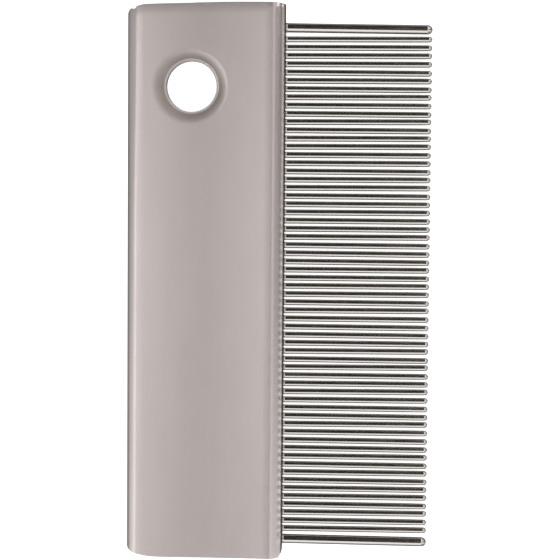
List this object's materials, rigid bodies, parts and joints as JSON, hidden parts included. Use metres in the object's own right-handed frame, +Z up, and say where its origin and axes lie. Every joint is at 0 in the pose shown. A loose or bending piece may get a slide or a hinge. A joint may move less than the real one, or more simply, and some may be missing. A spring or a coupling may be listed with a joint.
{
  "type": "flea comb",
  "caption": "Metal flea comb: a flat sleeve of folded sheet with a hanging hole at one end, holding one close row of straight round wire teeth.",
  "frame": {"origin": "on the surface that the comb lies on, under the middle of its bounding box", "axes": "+Y along the handle towards the end with the hanging hole, +X the way the teeth point, +Z up out of the front face"},
  "size_m": [0.0434, 0.08, 0.0032],
  "materials": {
    "handle_steel": "satin nickel plate on folded sheet steel",
    "tooth_steel": "polished round steel wire",
    "bar_steel": "plain drawn steel bar"
  },
  "bodies": {
    "root": {"folded_handle": "handle_steel", "root_spacer_bar": "bar_steel", "root_cover_bar": "bar_steel", "guard_tooth_hole_end": "tooth_steel", "guard_tooth_plain_end": "tooth_steel", "fine_tooth_01": "tooth_steel", "fine_tooth_02": "tooth_steel", "fine_tooth_03": "tooth_steel", "fine_tooth_04": "tooth_steel", "fine_tooth_05": "tooth_steel", "fine_tooth_08": "tooth_steel", "fine_tooth_09": "tooth_steel", "fine_tooth_10": "tooth_steel", "fine_tooth_11": "tooth_steel", "fine_tooth_12": "tooth_steel", "fine_tooth_13": "tooth_steel", "fine_tooth_14": "tooth_steel", "fine_tooth_15": "tooth_steel", "fine_tooth_18": "tooth_steel", "fine_tooth_19": "tooth_steel", "fine_tooth_20": "tooth_steel", "fine_tooth_21": "tooth_steel", "fine_tooth_22": "tooth_steel", "fine_tooth_23": "tooth_steel", "fine_tooth_24": "tooth_steel", "fine_tooth_25": "tooth_steel", "fine_tooth_28": "tooth_steel", "fine_tooth_29": "tooth_steel", "fine_tooth_30": "tooth_steel", "fine_tooth_31": "tooth_steel", "fine_tooth_32": "tooth_steel", "fine_tooth_33": "tooth_steel", "fine_tooth_34": "tooth_steel", "fine_tooth_35": "tooth_steel", "fine_tooth_38": "tooth_steel", "fine_tooth_39": "tooth_steel", "fine_tooth_40": "tooth_steel", "fine_tooth_41": "tooth_steel", "fine_tooth_42": "tooth_steel", "fine_tooth_43": "tooth_steel", "fine_tooth_44": "tooth_steel", "fine_tooth_45": "tooth_steel", "fine_tooth_48": "tooth_steel", "fine_tooth_49": "tooth_steel", "fine_tooth_50": "tooth_steel", "fine_tooth_51": "tooth_steel", "fine_tooth_52": "tooth_steel", "fine_tooth_53": "tooth_steel", "fine_tooth_54": "tooth_steel", "fine_tooth_55": "tooth_steel", "fine_tooth_58": "tooth_steel", "fine_tooth_59": "tooth_steel", "fine_tooth_60": "tooth_steel", "fine_tooth_61": "tooth_steel", "fine_tooth_pair_06_07": "tooth_steel", "fine_tooth_pair_16_17": "tooth_steel", "fine_tooth_pair_26_27": "tooth_steel", "fine_tooth_pair_36_37": "tooth_steel", "fine_tooth_pair_46_47": "tooth_steel", "fine_tooth_pair_56_57": "tooth_steel"}
  },
  "joints": []
}
